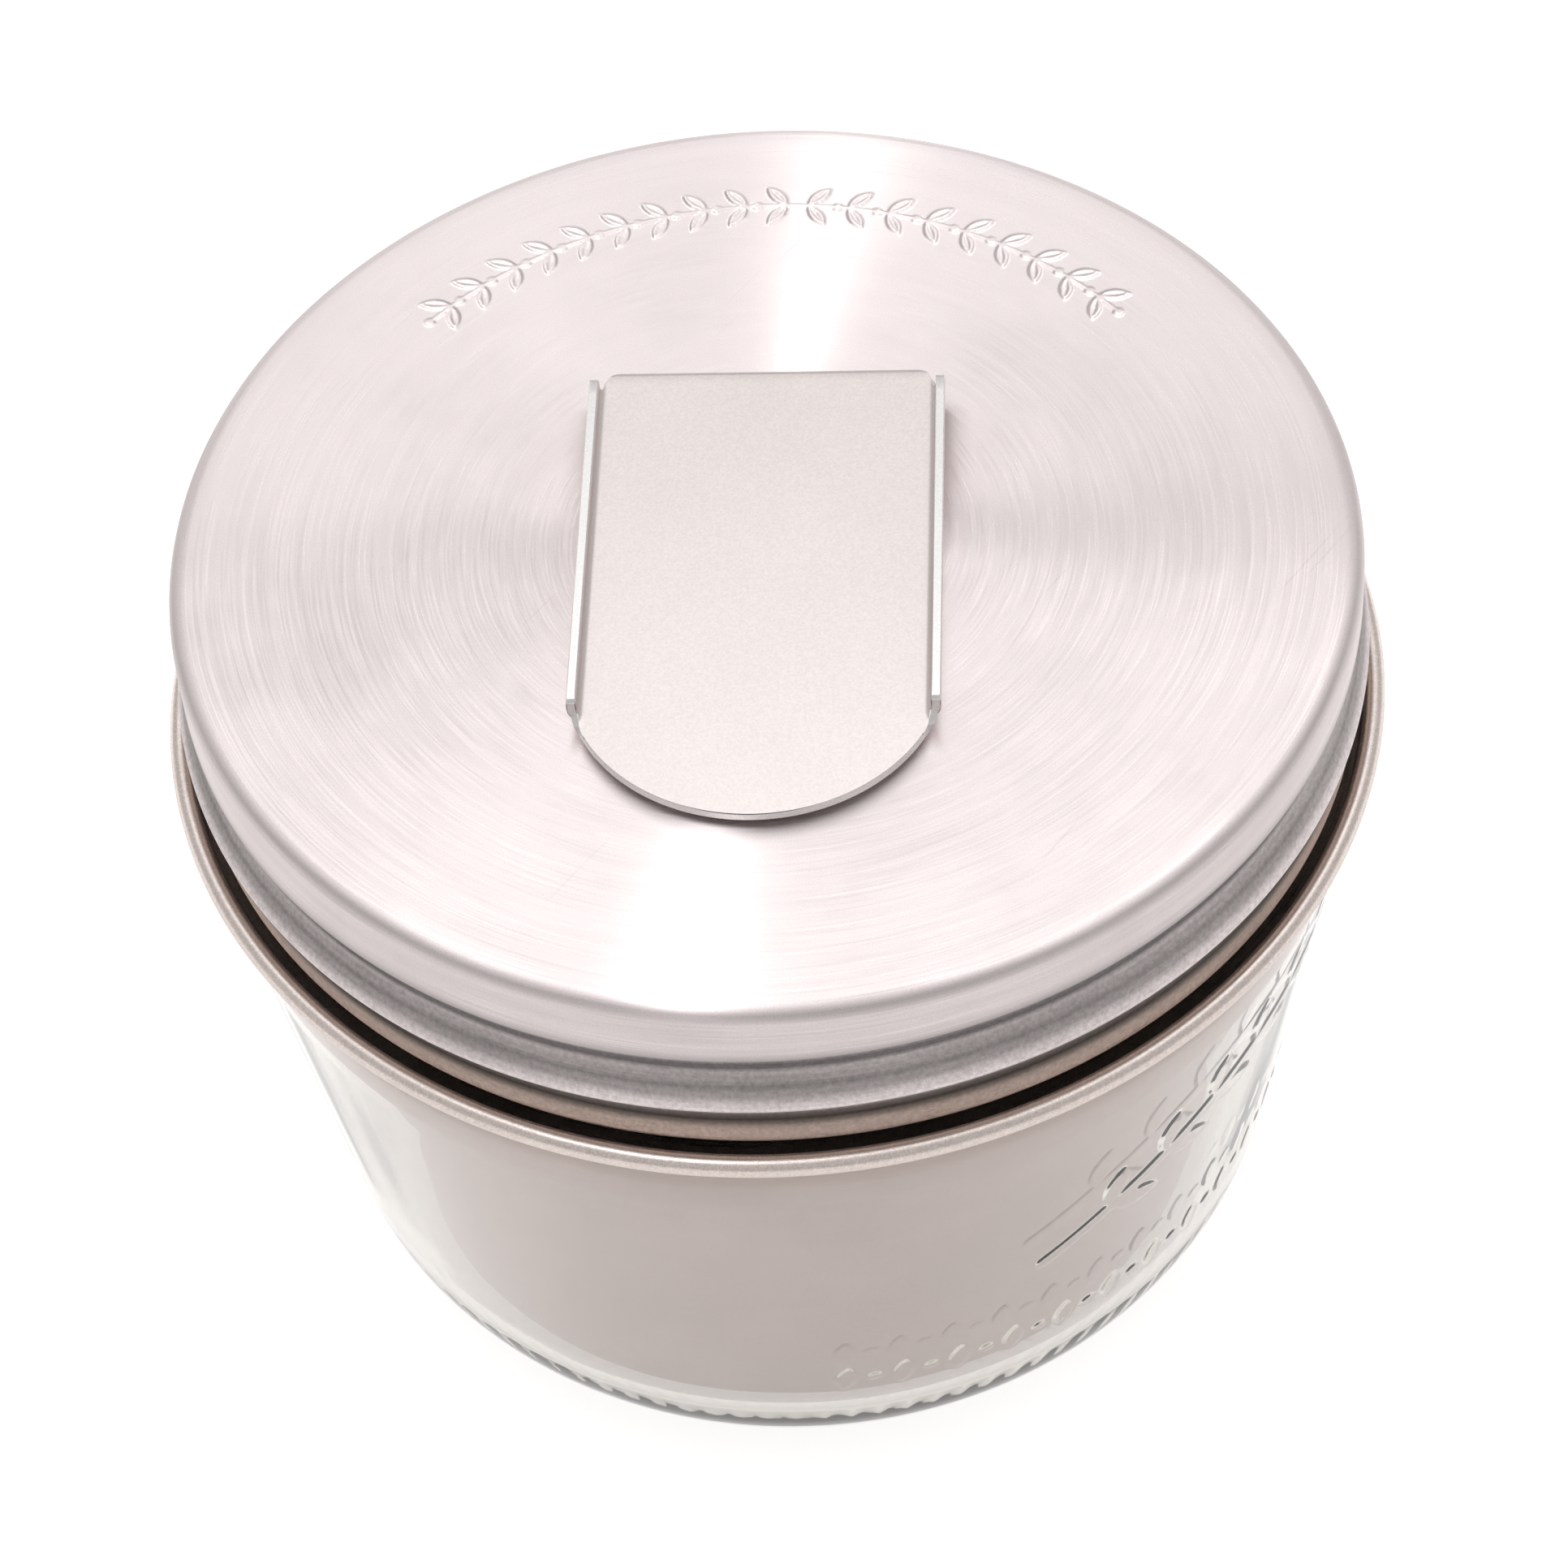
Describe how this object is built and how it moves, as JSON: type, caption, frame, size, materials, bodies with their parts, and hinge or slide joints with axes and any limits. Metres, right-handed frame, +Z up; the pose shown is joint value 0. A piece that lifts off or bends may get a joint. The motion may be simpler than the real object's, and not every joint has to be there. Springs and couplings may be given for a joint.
{
  "type": "lidded jar with hung steel cup",
  "caption": "Squat clear glass jar with a hung steel cup inside, a rolled steel ring around its neck and a screw-on steel lid that carries a springy clip.",
  "frame": {"origin": "centre of the jar's base, on the surface that it stands on", "axes": "+Z up along the jar's axis, the clip points along -Y (the front), +X to the right"},
  "size_m": [0.0952, 0.0952, 0.0742],
  "materials": {
    "clear_glass": "clear pressed soda-lime glass, very faint yellow-green tint",
    "cup_steel": "satin stainless steel, warm grey",
    "ring_steel": "satin rolled stainless steel",
    "lid_steel": "stainless steel brushed in circles",
    "clip_steel": "stainless steel brushed lengthwise, bright cut edges",
    "gasket_silicone": "soft white silicone"
  },
  "bodies": {
    "jar": {"glass_jar": "clear_glass", "steel_cup": "cup_steel", "neck_ring": "ring_steel"},
    "seal": {"lid_gasket": "gasket_silicone"},
    "lid": {"lid_shell": "lid_steel", "clip_foot": "clip_steel"},
    "clip": {"clip_leaf": "clip_steel"}
  },
  "joints": [
    {"name": "lid_lift", "type": "slide", "parent": "jar", "child": "seal", "axis": [0, 0, 1], "range_m": [0, 0.0064]},
    {"name": "lid_turn", "type": "hinge", "parent": "seal", "child": "lid", "pos_m": [0, 0, 0.0625], "axis": [0, 0, 1], "range_deg": [0, 450]},
    {"name": "clip_flex", "type": "hinge", "parent": "lid", "child": "clip", "pos_m": [0, 0.01555, 0.07175], "axis": [-1, 0, 0], "range_deg": [0, 5], "stiffness_Nm_per_rad": 1.5}
  ],
  "couplings": [
    {"joint": "lid_lift", "follows": "lid_turn", "m_per_rad": 0.00080851}
  ]
}
